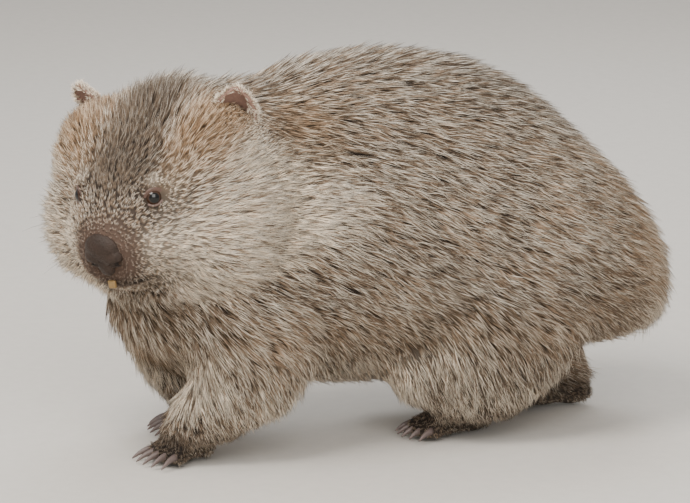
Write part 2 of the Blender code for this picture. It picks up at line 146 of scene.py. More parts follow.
# The coat is planted on coarse copies of the skin and the ears, with this many triangles.
GROUND_TRIANGLES = 26000
EAR_TRIANGLES = 1500
LOWEST_HAIR = 0.0005
MARKS = ("pale", "ginger", "dark", "muzzle")
EAR_MARKS = (0.75, 0.15, 0.0, 0.0)
EAR_HAIR_LENGTH = 0.20
EAR_HAIR_LIFT = 0.05


def metres(label, says, value, least):
    return FloatProperty(name=label, description=says, default=value, min=least, unit="LENGTH")


class WombatSizes(bpy.types.PropertyGroup):
    """Sizes of the skin and the hairs"""

    skin_detail: metres("Skin detail", "Size of the faces that the skin is drawn with", 0.0037, 0.002)
    hair_length: metres("Hair length", "Length of the hairs on the flanks", 0.037, 0.005)
    hair_width: metres("Hair width", "Width of a strand of hairs at its root", 0.00085, 0.0003)
    sink: FloatProperty(
        name="Skin depth",
        description="How far the skin lies under the coat's outline, as a share of the hair's length",
        default=0.30,
        min=0.0,
        max=0.6,
        subtype="FACTOR",
    )
    strands: IntProperty(
        name="Strands in a tuft",
        description="How many strands stand in one tuft",
        default=8,
        min=3,
        max=12,
    )
    seed: IntProperty(
        name="Seed",
        description="Changes every random draw of the coat",
        default=7,
    )


def colour(label, value):
    return FloatVectorProperty(
        name=label,
        description=f"Colour of the {label.lower()}",
        default=value,
        min=0.0,
        max=1.0,
        subtype="COLOR",
    )


class WombatColours(bpy.types.PropertyGroup):
    """Colours of the coat, the bare parts and the floor"""

    root: colour("Hair roots", (0.038, 0.028, 0.021))
    middle: colour("Middle of the hairs", (0.325, 0.232, 0.158))
    tick: colour("Pale hair tips", (1.0, 0.91, 0.78))
    tan: colour("Tips of the ginger hair", (0.68, 0.47, 0.28))
    dark_tip: colour("Dark hair tips", (0.070, 0.052, 0.040))
    ginger: colour("Ginger hair", (0.44, 0.27, 0.145))
    pale: colour("Pale hair of cheek and belly", (0.95, 0.81, 0.64))
    muzzle: colour("Short muzzle hair", (0.165, 0.105, 0.078))
    skin: colour("Skin", (0.065, 0.046, 0.035))
    nose: colour("Nose leather", (0.030, 0.0175, 0.012))
    ear: colour("Ear skin", (0.27, 0.165, 0.13))
    # Painted shade colour for the deep hollows of the ears.
    hollow: colour("Hollow of the ears", (0.085, 0.045, 0.036))
    lid: colour("Eyelids", (0.090, 0.048, 0.035))
    iris: colour("Iris", (0.030, 0.014, 0.008))
    tooth: colour("Incisors", (0.22, 0.135, 0.048))
    claw: colour("Claws", (0.120, 0.088, 0.080))
    floor: colour("Floor", (0.60, 0.57, 0.53))


def sizes():
    return bpy.context.scene.wombat_sizes


def colours():
    return bpy.context.scene.wombat_colours


class Level:
    """A number that varies over a surface, with the operators that a formula needs."""

    def __init__(self, nodes, socket):
        self.nodes = nodes
        self.socket = socket

    def _with(self, operation, first, second=0.0):
        return self.nodes.node("ShaderNodeMath", {0: first, 1: second}, operation=operation)

    def __add__(self, other):
        return self._with("ADD", self, other)

    __radd__ = __add__

    def __sub__(self, other):
        return self._with("SUBTRACT", self, other)

    def __rsub__(self, other):
        return self._with("SUBTRACT", other, self)

    def __mul__(self, other):
        return self._with("MULTIPLY", self, other)

    __rmul__ = __mul__

    def fraction(self):
        return self._with("FRACT", self)

    def rise(self, start, end):
        """Rises smoothly from 0 at the start to 1 at the end."""
        values = {0: self, 1: start, 2: end}
        return self.nodes.node("ShaderNodeMapRange", values, interpolation_type="SMOOTHSTEP")


class Nodes:
    """A tree of nodes that is written as formulas."""

    def node(self, kind, values=None, output=0, **settings):
        """A node with its settings, then the values or links of its sockets."""
        made = self.tree.nodes.new(kind)
        for key, value in settings.items():
            setattr(made, key, value)
        for key, value in (values or {}).items():
            self.feed(made.inputs[key], value)
        return Level(self, made.outputs[output]) if made.outputs else None

    def feed(self, socket, value):
        if isinstance(value, Level):
            self.tree.links.new(value.socket, socket)
        else:
            socket.default_value = value


class Finish(Nodes):
    """A material."""

    def __init__(self, name, roughness, specular):
        self.material = bpy.data.materials.new(name)
        self.material.use_nodes = True
        self.tree = self.material.node_tree
        self.shader = self.tree.nodes["Principled BSDF"]
        self.paint(Roughness=roughness, Specular_IOR_Level=specular)

    def attribute(self, name):
        return self.node("ShaderNodeAttribute", output="Fac", attribute_name=name)

    def place(self):
        return self.node("ShaderNodeTexCoord", output="Object")

    def stretched(self, scale):
        return self.node("ShaderNodeMapping", {"Vector": self.place(), "Scale": scale})

    def noise(self, scale, detail=2.0, place=None):
        values = {"Vector": place or self.place(), "Scale": scale, "Detail": detail}
        return self.node("ShaderNodeTexNoise", values)

    def cells(self, scale):
        return self.node("ShaderNodeTexVoronoi", {"Vector": self.place(), "Scale": scale})

    def blend(self, share, first, second):
        """A colour between two, by a share of the second."""
        first = first if isinstance(first, Level) else (*first, 1.0)
        second = second if isinstance(second, Level) else (*second, 1.0)
        values = {0: share, 6: first, 7: second}
        return self.node("ShaderNodeMix", values, 2, data_type="RGBA", clamp_factor=True)

    def shaded(self, base, amount):
        """The colour darkened or lightened by a number."""
        grey = self.node("ShaderNodeCombineColor", {0: amount, 1: amount, 2: amount})
        values = {0: 1.0, 6: base, 7: grey}
        return self.node("ShaderNodeMix", values, 2, data_type="RGBA", blend_type="MULTIPLY")

    def bump(self, height, distance, strength=1.0):
        values = {"Height": height, "Distance": distance, "Strength": strength}
        self.paint(Normal=self.node("ShaderNodeBump", values))

    def paint(self, **values):
        for key, value in values.items():
            self.feed(self.shader.inputs[key.replace("_", " ")], value)
        return self.material


def markings_and_shade(finish, plain, pale):
    """A plain colour turned ginger, pale or dark by place, by the share of pale that is given; the dark
    also lays painted shade under the chin and behind the head.
    """
    paint = colours()
    patches = finish.noise(14.0, 2.0).rise(0.40, 0.62)
    body = finish.shaded(plain, 0.78 + 0.42 * patches)
    body = finish.blend(finish.attribute("ginger"), body, paint.ginger)
    body = finish.blend(pale, body, paint.pale)
    body = finish.blend(finish.attribute("muzzle"), body, paint.muzzle)
    return finish.shaded(body, 1.0 - 0.55 * finish.attribute("dark"))


def coat_finish():
    """Hairs with dark roots, and here and there a pale or a dark tip."""
    paint = colours()
    finish = Finish("grizzled coat", roughness=0.62, specular=0.28)
    along = finish.attribute("along")
    draw = (finish.attribute("strand") + finish.attribute("tone")).fraction()
    pale = finish.attribute("pale")
    short = finish.attribute("muzzle")
    # dark holds the darker colour marks and also painted shade under the chin and behind the head.
    dim = finish.attribute("dark")
    few = 1.0 - 0.80 * pale
    chosen = (draw * 5.13).fraction().rise(few, few + 0.08)
    body = markings_and_shade(finish, (*paint.middle, 1.0), chosen)
    light = 0.55 + 0.42 * (draw * 7.31).fraction() + 0.48 * finish.attribute("tone")
    body = finish.shaded(body, light)
    rooted = finish.blend(along.rise(0.06, 0.46 - 0.24 * pale), paint.root, body)
    start = 0.44 - 0.24 * pale + 0.22 * dim
    ticked = draw.rise(start, start + 0.06) * along.rise(0.36, 0.66)
    ticked = ticked * (1.0 - 0.75 * short) * (1.0 - 0.85 * dim * dim) * 0.94
    tick = finish.blend(finish.attribute("ginger"), paint.tick, paint.tan)
    tipped = finish.blend(ticked, rooted, tick)
    darkened = (1.0 - draw.rise(0.18, 0.22)) * along.rise(0.45, 0.80) * (1.0 - 0.85 * pale)
    hair = finish.blend(darkened * 0.85, tipped, paint.dark_tip)
    return finish.paint(Base_Color=hair)


def skin_finish():
    """Skin under the coat, in the coat's own colour marks and painted shade."""
    finish = Finish("skin under the coat", roughness=0.8, specular=0.2)
    body = markings_and_shade(finish, (*colours().skin, 1.0), 0.35 * finish.attribute("pale"))
    streaks = finish.noise(260.0, 3.0, finish.stretched((1.0, 0.25, 0.6)))
    finish.bump(streaks, 0.0008)
    return finish.paint(Base_Color=finish.shaded(body, 0.30 + 0.55 * streaks))


def leather_finish():
    """The nose: dark leather in small pebbles, paler on their tops and darker in the cracks between them.
    """
    finish = Finish("pebbled nose leather", roughness=0.55, specular=0.3)
    pebbles = finish.cells(620.0)
    blotches = finish.noise(90.0, 4.0)
    finish.bump(1.0 - pebbles, 0.0005, 0.9)
    base = finish.shaded((*colours().nose, 1.0), 0.60 + 0.9 * blotches - 0.35 * pebbles)
    # Painted shade inside the nostrils: the leather darkens where they sink in.
    base = finish.shaded(base, 1.0 - 0.85 * finish.attribute("nostril"))
    return finish.paint(Base_Color=base, Roughness=0.42 + 0.30 * pebbles)


def ear_finish():
    """Bare skin with painted shade that darkens it towards the hollow of the ear."""
    finish = Finish("ear skin", roughness=0.7, specular=0.3)
    creases = finish.noise(320.0, 3.0)
    finish.bump(creases, 0.0004)
    hollow = finish.attribute("hollow").rise(0.2, 0.9)
    base = finish.blend(hollow, colours().ear, colours().hollow)
    return finish.paint(Base_Color=finish.shaded(base, 0.70 + 0.6 * creases))


def creased_finish(name, base, roughness, grain, height, low, span):
    """One colour, paler and raised on the grain's ridges."""
    finish = Finish(name, roughness, specular=0.5)
    creases = finish.noise(grain, 3.0)
    finish.bump(creases, height)
    return finish.paint(Base_Color=finish.shaded((*base, 1.0), low + span * creases))


def lid_finish():
    return creased_finish("eyelids", colours().lid, 0.45, 500.0, 0.0003, 0.6, 0.8)


def tooth_finish():
    return creased_finish("incisor enamel", colours().tooth, 0.3, 420.0, 0.0001, 0.65, 0.7)


def eye_finish():
    """A dark brown iris round a black pupil, under a wet surface."""
    finish = Finish("wet eye", roughness=0.08, specular=0.42)
    outward = finish.attribute("outward")
    rays = finish.noise(700.0, 2.0)
    iris = finish.shaded((*colours().iris, 1.0), 0.5 + 1.2 * rays)
    base = finish.blend(outward.rise(0.80, 0.86), iris, (0.002, 0.002, 0.002))
    white = 1.0 - outward.rise(0.30, 0.42)
    return finish.paint(Base_Color=finish.blend(white * 0.5, base, (0.10, 0.06, 0.045)))


def claw_finish():
    """Horn with fine lengthwise streaks, darker at the root."""
    finish = Finish("claw horn", roughness=0.45, specular=0.5)
    along = finish.attribute("along")
    streaks = finish.noise(500.0, 3.0)
    finish.bump(streaks, 0.0002)
    base = finish.shaded((*colours().claw, 1.0), 0.55 + 0.30 * along + 0.5 * streaks)
    return finish.paint(Base_Color=base)


def whisker_finish():
    finish = Finish("whiskers", roughness=0.5, specular=0.4)
    along = finish.attribute("along")
    return finish.paint(Base_Color=finish.blend(along, (0.020, 0.015, 0.012), (0.12, 0.09, 0.07)))


def floor_finish():
    finish = Finish("pale floor", roughness=0.9, specular=0.2)
    grain = finish.noise(60.0, 5.0)
    return finish.paint(Base_Color=finish.shaded((*colours().floor, 1.0), 0.94 + 0.12 * grain))


def ramp(value, start, end):
    """Rises smoothly from 0 at the start to 1 at the end."""
    t = min(1.0, max(0.0, (value - start) / (end - start)))
    return t * t * (3 - 2 * t)


def piece_named(name, mesh):
    made = bpy.data.objects.new(name, mesh)
    bpy.context.scene.collection.objects.link(made)
    return made


def dropped(obj):
    bpy.data.objects.remove(obj, do_unlink=True)


def piece_of(bm, name):
    """A piece with what was drawn in a bmesh."""
    bmesh.ops.recalc_face_normals(bm, faces=bm.faces)
    mesh = bpy.data.meshes.new(name)
    bm.to_mesh(mesh)
    bm.free()
    return piece_named(name, mesh)


def applied(obj):
    """The object with its modifiers applied."""
    graph = bpy.context.evaluated_depsgraph_get()
    mesh = bpy.data.meshes.new_from_object(obj.evaluated_get(graph))
    obj.modifiers.clear()
    obj.data = mesh
    return obj


def dress(piece, material, slot, *nodes):
    """Gives a finished piece its material, joins it to the root body and hides the imported solids that
    it takes the place of.
    """
    piece.data.materials.clear()
    piece.data.materials.append(material)
    piece.data.shade_smooth()
    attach(piece, "root")
    if nodes:
        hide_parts(*nodes)


def merged_node(bm, node, swell=0.0):
    """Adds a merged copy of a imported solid, grown a little so that neighbours overlap."""
    part = bmesh.new()
    part.from_mesh(frame["nodes"][node].data)
    bmesh.ops.remove_doubles(part, verts=part.verts, dist=0.00001)
    part.normal_update()
    moves = [(vert, vert.normal * swell) for vert in part.verts]
    for vert, move in moves:
        vert.co += move
    copy = bpy.data.meshes.new("copy")
    part.to_mesh(copy)
    part.free()
    bm.from_mesh(copy)
    bpy.data.meshes.remove(copy)


def largest_surface(obj):
    """Drops every loose piece but the largest."""
    bm = bmesh.new()
    bm.from_mesh(obj.data)
    left, pieces = set(bm.verts), []
    while left:
        reached, waiting = set(), [left.pop()]
        while waiting:
            vert = waiting.pop()
            reached.add(vert)
            near = {edge.other_vert(vert) for edge in vert.link_edges} & left
            left -= near
            waiting.extend(near)
        pieces.append(reached)
    pieces.sort(key=len)
    scraps = [vert for piece in pieces[:-1] for vert in piece]
    bmesh.ops.delete(bm, geom=scraps, context="VERTS")
    bm.to_mesh(obj.data)
    bm.free()
    return obj


def fused(obj, voxel, passes):
    """One closed skin round everything in the object, with its creases softened."""
    remesh = obj.modifiers.new("Fuse", "REMESH")
    remesh.mode = "VOXEL"
    remesh.voxel_size = voxel
    smooth = obj.modifiers.new("Soften", "SMOOTH")
    smooth.factor = 0.5
    smooth.iterations = passes
    return applied(obj)


def fused_node(node, name, voxel, passes):
    """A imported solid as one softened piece."""
    bm = bmesh.new()
    merged_node(bm, node)
    return fused(piece_of(bm, name), voxel, passes)


def ball(bm, centre, radii, place):
    matrix = place @ Matrix.Translation(centre) @ Matrix.Diagonal((*radii, 1))
    bmesh.ops.create_icosphere(bm, subdivisions=3, radius=1, matrix=matrix)


def foot_place(spot, turn):
    return Matrix.Translation((*spot, 0)) @ Matrix.Rotation(math.radians(turn), 4, "Z")


def toe_roots(length, width):
    """Where each toe ends in the foot's own frame, and the way it points."""
    toes = []
    for k in range(TOES):
        across = 2 * k / (TOES - 1) - 1
        spread = TOE_SPREAD * across
        root = Vector((0.40 * width * across, -0.34 * length * (1 - 0.16 * across**2), 0.012))
        toes.append((root, Vector((math.sin(spread), -math.cos(spread), 0))))
    return toes


def foot_flesh(bm, spot, turn, length, width):
    """Heel, ball and toes of one foot, without its claws."""
    place = foot_place(spot, turn)
    ball(bm, (0, 0.24 * length, 0.016), (0.38 * width, 0.27 * length, 0.016), place)
    ball(bm, (0, -0.10 * length, 0.016), (0.45 * width, 0.33 * length, 0.016), place)
    ball(bm, (0, 0.14 * length, 0.036), (0.36 * width, 0.24 * length, 0.026), place)
    for root, heading in toe_roots(length, width):
        ball(bm, root, (0.118 * width, 0.17 * length, 0.0115), place)


def mirrored(spot, mirror):
    """A point or direction of the left side, or its twin on the right where mirror is -1."""
    return Vector((mirror * spot[0], spot[1], spot[2]))


def eye_places():
    """The frame of each eye, whose z looks out of the head."""
    places = {}
    for side, mirror in SIDES:
        facing = mirrored(EYE_FACING, mirror).normalized()
        turn = facing.to_track_quat("Z", "Y").to_matrix().to_4x4()
        places[side] = HEAD @ Matrix.Translation(mirrored(EYE_CENTRE, mirror)) @ turn
    return places


def path_points(path):
    """Points along a path of the head's left side and along its twin on the right."""
    points = []
    for side, mirror in SIDES:
        for one, two in zip(path, path[1:]):
            for t in (0.0, 0.25, 0.5, 0.75):
                points.append(HEAD @ mirrored(Vector(one).lerp(Vector(two), t), mirror))
    return points


EYES = [place.translation for place in eye_places().values()]
MOUTH = path_points(MOUTH_PATH)
EARS = [HEAD @ mirrored(EAR_BASE, mirror) for side, mirror in SIDES]
NOSE = HEAD @ Vector(NOSE_MIDDLE)


def nearest(point, others):
    return min((point - other).length for other in others)


def body_shares(point):
    """How far a point belongs to the head and to a leg."""
    on_head = INTO_HEAD @ point
    head = ramp(on_head.y, 0.170, 0.110) * ramp(on_head.z, -0.150, -0.115)
    leg = ramp(point.z, 0.175, 0.095) * ramp(abs(point.x + 0.012), 0.015, 0.050)
    return head, leg * (1 - head)


def along_skin(run, normal):
    """A direction laid flat on the skin."""
    along = run - normal * run.dot(normal)
    return along.normalized() if along.length > 1e-6 else normal.orthogonal().normalized()


def lie(point, normal):
    """The way the coat runs: off the nose, back over the head and trunk, and down the legs."""
    head, leg = body_shares(point)
    from_nose = HEAD_TURN @ ((INTO_HEAD @ point) - Vector(COAT_SOURCE))
    from_nose = from_nose.normalized() + Vector((0.0, 0.0, -0.25))
    run = head * from_nose + leg * Vector(LEG_LIE) + (1 - head - leg) * Vector(TRUNK_LIE)
    return along_skin(run, normal)


def hair_length(point):
    """The hairs' length as a share of the longest: short on the muzzle, ears and feet and by the eyes."""
    on_head = INTO_HEAD @ point
    from_nose = (point - NOSE).length
    head, leg = body_shares(point)
    face = 0.10 + 0.14 * ramp(from_nose, 0.020, 0.060) + 0.26 * ramp(from_nose, 0.055, 0.140)
    face += 0.34 * ramp(from_nose, 0.050, 0.140) * ramp(on_head.z, 0.010, -0.030)
    face = min(face, 0.11 + 0.80 * ramp(nearest(point, EYES), 0.012, 0.060))
    face = min(face, 0.14 + 0.80 * ramp(nearest(point, MOUTH), 0.002, 0.050))
    crown = 0.20 * ramp(on_head.z, 0.0, 0.04) * ramp(on_head.y, 0.03, 0.09)
    trunk = 1.0 - 0.10 * ramp(point.z, 0.33, 0.42)
    low = 0.30 + 0.58 * ramp(point.z, 0.020, 0.100)
    length = head * (face + crown) + leg * low + (1 - head - leg) * trunk
    length = min(length, 0.15 + 0.85 * ramp(point.z, 0.020, 0.060))
    return min(length, 0.20 + 0.80 * ramp(nearest(point, EARS), 0.024, 0.075))


def lift_of(point):
    """How much further than usual the hairs stand off the skin, in radians."""
    on_head = INTO_HEAD @ point
    head, leg = body_shares(point)
    crown = ramp(on_head.z, 0.005, 0.045) * ramp(on_head.y, 0.015, 0.070)
    ruff = ramp(on_head.y, 0.050, 0.110) * ramp(-on_head.z, 0.030, 0.090)
    return head * (0.36 * crown + 0.16 * ruff) - 0.08 * leg


def marks_and_shade_of(point, normal):
    """The coat's colour marks at a point: pale, ginger, dark and muzzle, each from 0 to 1; dark also
    carries painted shade under the chin and behind the head.
    """
    on_head = INTO_HEAD @ point
    side = abs(on_head.x)
    on_left = Vector((side, on_head.y, on_head.z))
    head, leg = body_shares(point)
    body = 1 - head
    from_nose = (point - NOSE).length
    muzzle = head * ramp(from_nose, 0.050, 0.022)
    band = ramp(on_head.y, 0.025, 0.070) * ramp(on_head.y, 0.140, 0.112) * ramp(on_head.z, 0.030, 0.000)
    low = ramp(on_head.z, -0.012, -0.034) * ramp(side, 0.026, 0.050)
    upper = ramp(on_head.z, 0.040, 0.005) * ramp(side, 0.040, 0.060)
    cheek = max(band * ramp(side, 0.050, 0.080), 0.85 * low, 0.38 * upper)
    brow = ramp((on_left - Vector((0.045, 0.002, 0.017))).length, 0.013, 0.005)
    belly = body * ramp(point.z, 0.135, 0.075) * ramp(normal.z, 0.10, -0.50)
    shin = leg * ramp(-normal.y, 0.10, 0.75) * ramp(point.z, 0.045, 0.075)
    fringe = body * ramp(point.y, 0.255, 0.320) * ramp(point.z, 0.190, 0.140) * 0.6
    pale = max(0.92 * head * cheek, 0.80 * head * brow, 0.50 * belly, 0.85 * shin, fringe)
    crown = head * ramp(on_head.z, -0.015, 0.030) * ramp(side, 0.030, 0.062)
    # The nape's ginger is its own colour; its dark share below is painted shade in the gap between the
    # head and the shoulder.
    nape = ramp((on_left - Vector((0.108, 0.160, -0.045))).length, 0.070, 0.025)
    hem = body * (1 - leg) * ramp(point.z, 0.190, 0.115) * 0.45
    ginger = max(0.72 * crown, 0.42 * nape, hem, 0.35 * body * ramp(point.y, 0.19, 0.30))
    forehead = head * ramp(side, 0.060, 0.020) * ramp(on_head.z, -0.010, 0.020)
    back = body * ramp(point.z, 0.300, 0.400) * 0.40
    foot = ramp(point.z, 0.070, 0.028)
    under_eye = ramp(nearest(point, EYES), 0.017, 0.012) * 0.7
    line = ramp(nearest(point, MOUTH), 0.007, 0.003)
    thigh = 0.42 * ramp(point.z, 0.240, 0.150) * ramp(point.y, -0.020, 0.060)
    top = 0.34 * head * ramp(on_head.z, -0.010, 0.030)
    # Painted shadow under the chin, laid on the chest as dark.
    chest = body * ramp(point.y, -0.160, -0.230) * ramp(point.z, 0.300, 0.240) * 0.45
    dark = max(0.92 * forehead, back, foot, under_eye, line, chest, top, thigh)
    # The nape's share here is painted shade in the gap behind the head.
    dark = max(dark, 0.25 * muzzle, 0.15 * leg, 0.55 * nape)
    return pale * (1 - muzzle), ginger * (1 - 0.8 * pale) * (1 - foot), dark, muzzle


def store(mesh, name, kind, values, domain="POINT"):
    """Keeps a row of numbers on a mesh as an attribute."""
    made = mesh.attributes.new(name, kind, domain)
    field = "vector" if kind in ("FLOAT_VECTOR", "FLOAT2") else "value"
    made.data.foreach_set(field, np.asarray(values, np.float32).ravel())


def store_marks_and_shade(mesh, rows):
    """Keeps the coat's colour marks and painted shade on a mesh, one row of them for each point."""
    for name, column in zip(MARKS, zip(*rows)):
        store(mesh, name, "FLOAT", column)


def join_rings(bm, rings, closed=False):
    """Lays faces from each ring of points to the next, and over the ends where it isn't closed."""
    after = rings[1:] + rings[:1] if closed else rings[1:]
    for one, two in zip(rings, after):
        for k in range(len(one)):
            j = (k + 1) % len(one)
            bm.faces.new((one[k], one[j], two[j], two[k]))
    if not closed:
        bm.faces.new(rings[0])
        bm.faces.new(rings[-1])


def clear_of_eyes(point):
    """Draws a point of the skin back off the open part of an eyeball."""
    for place in eye_places().values():
        off = point - place.translation
        if EYE_SOCKET < off.length < 0.030:
            facing = off.normalized().dot(place.to_3x3() @ UP)
            allowed = EYE_SOCKET + 0.020 * ramp(facing, 0.58, 0.25)
            if off.length > allowed:
                point = place.translation + off.normalized() * allowed
    return point


class WOMBAT_OT_skin(bpy.types.Operator):
    """One skin over trunk, head, legs and feet, under the coat's outline"""

    bl_idname = "wombat.skin"
    bl_label = "Skin"

    def execute(self, context):
        bm = bmesh.new()
        for node in FLESH:
            merged_node(bm, node, 0.0004)
        for numbers in (*FOREFEET, *HINDFEET):
            foot_flesh(bm, *numbers)
        for place in eye_places().values():
            ball(bm, (0, 0, 0), (0.0090,) * 3, place)
        skin = fused(piece_of(bm, "skin"), sizes().skin_detail, 5)
        skin = largest_surface(skin)
        depth = sizes().sink * sizes().hair_length
        nose_foot = HEAD @ Vector(NOSE_FOOT)
        near_parts = (*EYES, NOSE, HEAD @ Vector(TOOTH_TIP))
        moves = []
        for vert in skin.data.vertices:
            inset = depth * hair_length(vert.co)
            inset *= ramp(nearest(vert.co, near_parts), 0.012, 0.035)
            inset *= 0.25 + 0.75 * ramp(nearest(vert.co, EARS), 0.015, 0.045)
            inset += 0.0026 * ramp((vert.co - nose_foot).length, 0.027, 0.017)
            moves.append(clear_of_eyes(vert.co - vert.normal * inset))
        for vert, spot in zip(skin.data.vertices, moves):
            vert.co = (spot.x, spot.y, max(spot.z, 0.0006))
        skin.data.update()
        soften = skin.modifiers.new("Soften", "SMOOTH")
        soften.iterations = 2
        applied(skin)
        store_marks_and_shade(skin.data, [marks_and_shade_of(vert.co, vert.normal) for vert in skin.data.vertices])
        dress(skin, skin_finish(), "coat", *FLESH, *FEET)
        return {"FINISHED"}


class WOMBAT_OT_eyes(bpy.types.Operator):
    """A dark wet eye on each side, set between its lids"""

    bl_idname = "wombat.eyes"
    bl_label = "Eyes and lids"

    def execute(self, context):
        wet = eye_finish()
        lids = lid_finish()
        for side, place in eye_places().items():
            bm = bmesh.new()
            matrix = place @ Matrix.Diagonal((EYE_RADIUS, EYE_RADIUS, EYE_RADIUS, 1))
            bmesh.ops.create_uvsphere(bm, u_segments=40, v_segments=28, radius=1, matrix=matrix)
            eye = piece_of(bm, f"eye_{side}_ball")
            axis = place.to_3x3() @ UP
            away = [(vert.co - place.translation).normalized() for vert in eye.data.vertices]
            store(eye.data, "outward", "FLOAT", [heading.dot(axis) for heading in away])
            dress(eye, wet, "eye", f"eye_{side}")
            dress(self.lids(place, f"lids_{side}"), lids, "ear_skin")
        return {"FINISHED"}

    def lids(self, place, name):
        """A rim of skin that lies on the ball round the opening, heavier above."""
        bm = bmesh.new()
        steps, sides = 48, 12
        up = place.inverted().to_3x3() @ UP
        rings = []
        for k in range(steps):
            angle = 2 * math.pi * k / steps
            across, rise = math.cos(angle), math.sin(angle)
            spot = Vector((LID_OPENING[0] * across, LID_OPENING[1] * rise, 0))
            upper = ramp((up.x * across + up.y * rise), -0.2, 0.8)
            radius = 0.0009 + 0.0006 * upper
            spot.z = math.sqrt(EYE_RADIUS**2 - spot.x**2 - spot.y**2)
            outward = spot.normalized()
            away = Vector((across, rise, 0))
            ring = []
            for j in range(sides):
                turn = 2 * math.pi * j / sides
                offset = away * math.cos(turn) * 1.4 + outward * math.sin(turn)
                ring.append(bm.verts.new(place @ (spot + away * radius + offset * radius)))
            rings.append(ring)
        join_rings(bm, rings, closed=True)
        return piece_of(bm, name)


class WOMBAT_OT_nose(bpy.types.Operator):
    """The leathery pad of the nose, with its nostrils"""

    bl_idname = "wombat.nose"
    bl_label = "Nose"

    def execute(self, context):
        pad = fused_node("nose", "nose_pad", 0.0008, 4)
        bores = path_points(NOSTRIL)
        depths = [ramp(nearest(vert.co, bores), 0.0052, 0.0016) for vert in pad.data.vertices]
        normals = [vert.normal.copy() for vert in pad.data.vertices]
        for vert, normal, depth in zip(pad.data.vertices, normals, depths):
            vert.co -= normal * depth * 0.0026
        store(pad.data, "nostril", "FLOAT", depths)
        dress(pad, leather_finish(), "nose_leather", "nose")
        return {"FINISHED"}


class WOMBAT_OT_ears(bpy.types.Operator):
    """The cups of the ears, with painted shade in their hollows"""

    bl_idname = "wombat.ears"
    bl_label = "Ears"

    def execute(self, context):
        cup_finish = ear_finish()
        for side, mirror in SIDES:
            cup = fused_node(f"ear_{side}", f"ear_{side}_cup", 0.0011, 4)
            base = HEAD @ mirrored(EAR_BASE, mirror)
            up = HEAD_TURN @ mirrored(EAR_UP, mirror).normalized()
            # How deep in its hollow each point lies, for the ear's painted shade.
            hollow = []
            for vert in cup.data.vertices:
                height = (vert.co - base).dot(up)
                beside = ((vert.co - base) - up * height).length
                hollow.append(ramp(height, 0.030, 0.008) * ramp(beside, 0.022, 0.006))
            store(cup.data, "hollow", "FLOAT", hollow)
            dress(cup, cup_finish, "ear_skin", f"ear_{side}")
        return {"FINISHED"}


class WOMBAT_OT_teeth(bpy.types.Operator):
    """The upper incisors that show under the lip"""

    bl_idname = "wombat.teeth"
    bl_label = "Incisors"

    def execute(self, context):
        pair = fused_node("upper_incisors", "incisor_pair", 0.0005, 3)
        dress(pair, tooth_finish(), "enamel", "upper_incisors")
        return {"FINISHED"}


class WOMBAT_OT_claws(bpy.types.Operator):
    """Five bent claws on each foot"""

    bl_idname = "wombat.claws"
    bl_label = "Claws"

    def execute(self, context):
        horn = claw_finish()
        for kind, feet, reach in (("fore", FOREFEET, 0.0235), ("hind", HINDFEET, 0.0200)):
            bm = bmesh.new()
            layer = bm.verts.layers.float.new("along")
            for spot, turn, length, width in feet:
                place = foot_place(spot, turn)
                for root, heading in toe_roots(length, width):
                    start = place @ (root + heading * 0.06 * length)
                    start.z = 0.0130
                    self.claw(bm, layer, start, place.to_3x3() @ heading, reach)
            dress(piece_of(bm, f"{kind}_claws"), horn, "foot")
        return {"FINISHED"}

    def claw(self, bm, layer, start, forward, length):
        """A tapered horn, deeper than it is wide, that bends down to the ground."""
        rings, sides = [], 12
        for t in (0.0, 0.15, 0.30, 0.45, 0.60, 0.75, 0.88, 0.97):
            centre = start + forward * length * t - Vector((0, 0, 0.42 * length * t * t))
            slope = (forward - Vector((0, 0, 0.84 * t))).normalized()
            turn = slope.to_track_quat("Z", "Y").to_matrix()
            size = 0.0045 * (1 - t) ** 0.62
            ring = []
            for k in range(sides):
                angle = 2 * math.pi * k / sides
                rim = Vector((0.74 * size * math.cos(angle), size * math.sin(angle), 0))
                vert = bm.verts.new(centre + turn @ rim)
                vert.co.z = max(vert.co.z, 0.0004)
                vert[layer] = t
                ring.append(vert)
            rings.append(ring)
        join_rings(bm, rings)


